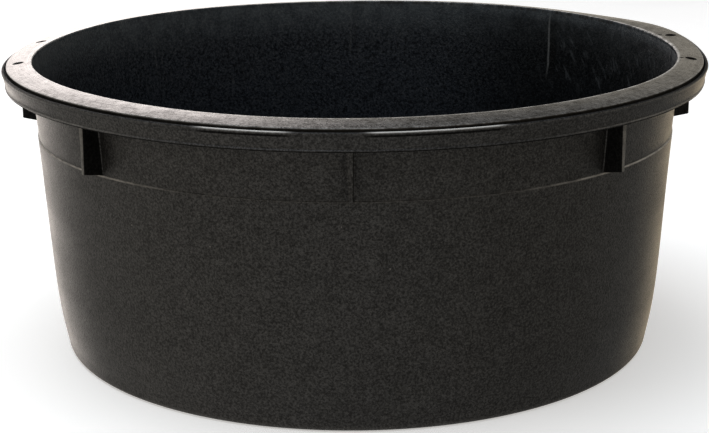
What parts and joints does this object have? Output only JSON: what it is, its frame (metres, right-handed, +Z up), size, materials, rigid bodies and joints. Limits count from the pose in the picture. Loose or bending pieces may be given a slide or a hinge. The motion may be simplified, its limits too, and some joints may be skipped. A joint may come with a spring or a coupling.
{
  "type": "mortar mixing tub",
  "caption": "Round black plastic mortar mixing tub: open tapered bowl, wide flanged rim with a down-turned skirt, radial gussets under the rim, and rope-handle holes in the flange.",
  "frame": {"origin": "middle of the underside, on the tub's axis, in the plane it stands on", "axes": "+Z up along the tub's axis; +X to the right, through the middle of one pair of handle holes; -Y is the front"},
  "size_m": [0.95, 0.95, 0.395],
  "materials": {
    "tub_plastic": "black injection-moulded polyethylene with a fine satin grain",
    "rim_plastic": "black injection-moulded polyethylene, satin, slightly polished and scuffed by handling"
  },
  "bodies": {
    "root": {"floor_panel": "tub_plastic", "base_corner": "tub_plastic", "side_wall": "tub_plastic", "upper_band": "tub_plastic", "rim_flange": "rim_plastic", "rim_skirt": "rim_plastic", "gusset_right": "tub_plastic", "gusset_rear_right": "tub_plastic", "gusset_rear": "tub_plastic", "gusset_rear_left": "tub_plastic", "gusset_left": "tub_plastic", "gusset_front_left": "tub_plastic", "gusset_front": "tub_plastic", "gusset_front_right": "tub_plastic"}
  },
  "joints": []
}
